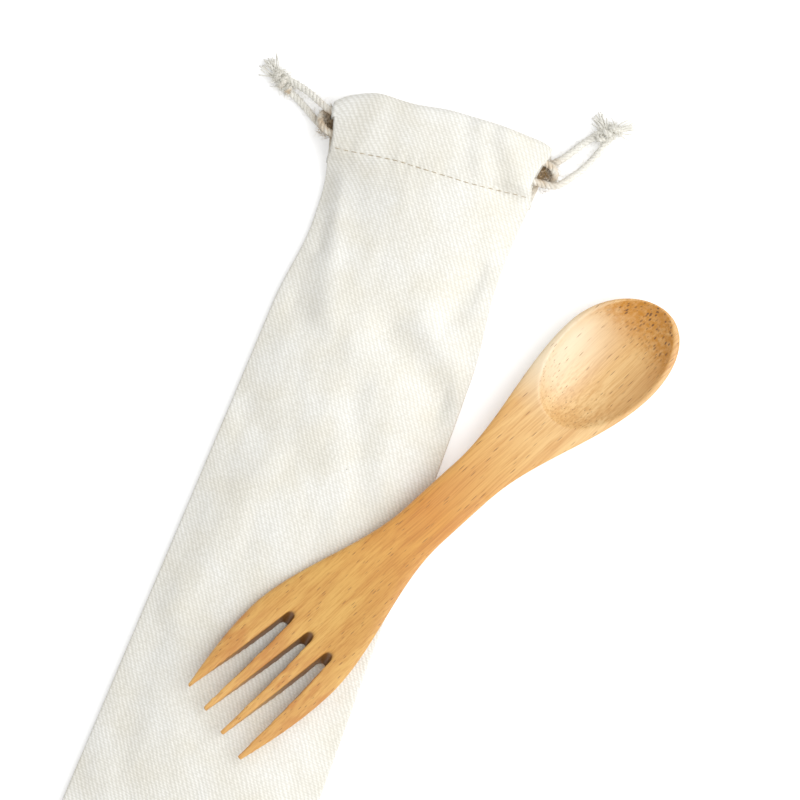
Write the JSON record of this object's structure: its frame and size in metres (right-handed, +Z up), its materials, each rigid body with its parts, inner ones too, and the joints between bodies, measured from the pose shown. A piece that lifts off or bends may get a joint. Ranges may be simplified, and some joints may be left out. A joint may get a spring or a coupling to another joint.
{
  "type": "wooden cutlery pack",
  "caption": "Bamboo double-ended spoon and fork lying across its empty cotton drawstring pouch, with knotted cords at each side of the mouth.",
  "frame": {"origin": "on the table, under the middle of the pouch's back panel", "axes": "+Y along the pouch towards its mouth, +X across it to the side that the spoon lies on, +Z up from the table"},
  "size_m": [0.1599, 0.2773, 0.0144],
  "materials": {
    "bamboo": "satin",
    "cotton_twill": "matte",
    "cotton_cord": "matte"
  },
  "bodies": {
    "root": {"spork": "bamboo", "front_panel": "cotton_twill", "back_panel": "cotton_twill", "left_drawcord": "cotton_cord", "right_drawcord": "cotton_cord"}
  },
  "joints": []
}
